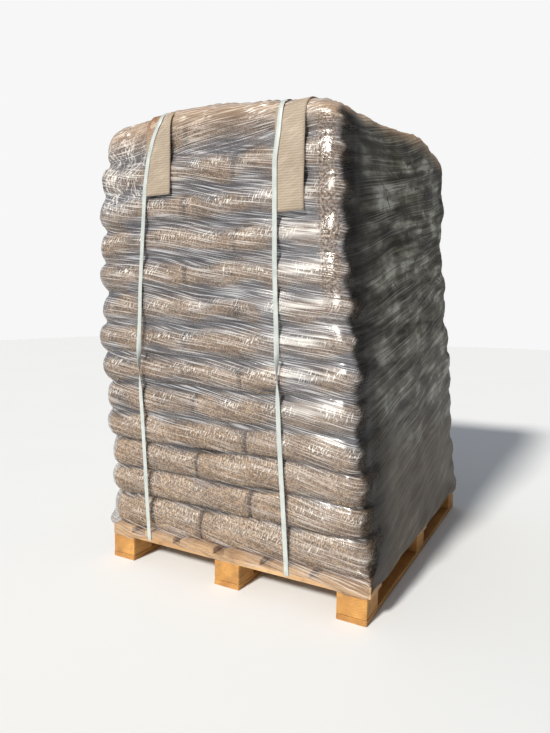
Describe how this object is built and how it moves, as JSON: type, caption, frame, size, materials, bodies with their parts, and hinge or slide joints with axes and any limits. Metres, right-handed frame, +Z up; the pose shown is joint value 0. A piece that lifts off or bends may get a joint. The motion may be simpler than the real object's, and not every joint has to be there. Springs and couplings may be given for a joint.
{
  "type": "pallet of bagged wood pellets",
  "caption": "Wooden block pallet stacked with clear bags of brown wood pellets, wrapped in clear stretch film and tied with white straps over folded card edge pads.",
  "frame": {"origin": "on the ground under the middle of the whole load's box", "axes": "+Z up; +Y along the pallet's 1200 mm length, away from the strapped front end; +X to the right of that end"},
  "size_m": [1.08, 1.243, 1.581],
  "materials": {
    "board_wood": "sawn pine boards, dry",
    "block_wood": "sawn pine, orange tan",
    "pellets": "pressed wood pellets seen through clear film",
    "bag_film": "clear glossy film, finely creased",
    "stretch_film": "clear stretch film, pulled in streaks",
    "strap": "white woven-look strap",
    "card": "brown corrugated card",
    "nail": "dull wire nails"
  },
  "bodies": {
    "root": {"bottom_board_left": "block_wood", "bottom_board_middle": "block_wood", "bottom_board_right": "block_wood", "block_front_left": "block_wood", "block_front_middle": "block_wood", "block_front_right": "block_wood", "block_middle_left": "block_wood", "block_middle_middle": "block_wood", "block_middle_right": "block_wood", "block_back_left": "block_wood", "block_back_middle": "block_wood", "block_back_right": "block_wood", "cross_board_front": "board_wood", "cross_board_middle": "board_wood", "cross_board_back": "board_wood", "deck_board_1": "board_wood", "deck_board_2": "board_wood", "deck_board_3": "board_wood", "deck_board_4": "board_wood", "deck_board_5": "board_wood", "deck_board_6": "board_wood", "bags_01_pair": "pellets", "bags_01_trio": "pellets", "bags_02_pair": "pellets", "bags_02_trio": "pellets", "bags_03_pair": "pellets", "bags_03_trio": "pellets", "bags_04_pair": "pellets", "bags_04_trio": "pellets", "bags_05_pair": "pellets", "bags_05_trio": "pellets", "bags_06_pair": "pellets", "bags_06_trio": "pellets", "bags_07_pair": "pellets", "bags_07_trio": "pellets", "bags_08_pair": "pellets", "bags_08_trio": "pellets", "bags_09_pair": "pellets", "bags_09_trio": "pellets", "bags_10_pair": "pellets", "bags_10_trio": "pellets", "bags_11_pair": "pellets", "bags_11_trio": "pellets", "bags_12_pair": "pellets", "bags_12_trio": "pellets", "bags_13_pair": "pellets", "bags_13_trio": "pellets", "stretch_film": "stretch_film", "strap_left": "strap", "strap_right": "strap", "edge_pad_front_left": "card", "edge_pad_front_right": "card", "edge_pad_back_left": "card", "edge_pad_back_right": "card"}
  },
  "joints": []
}
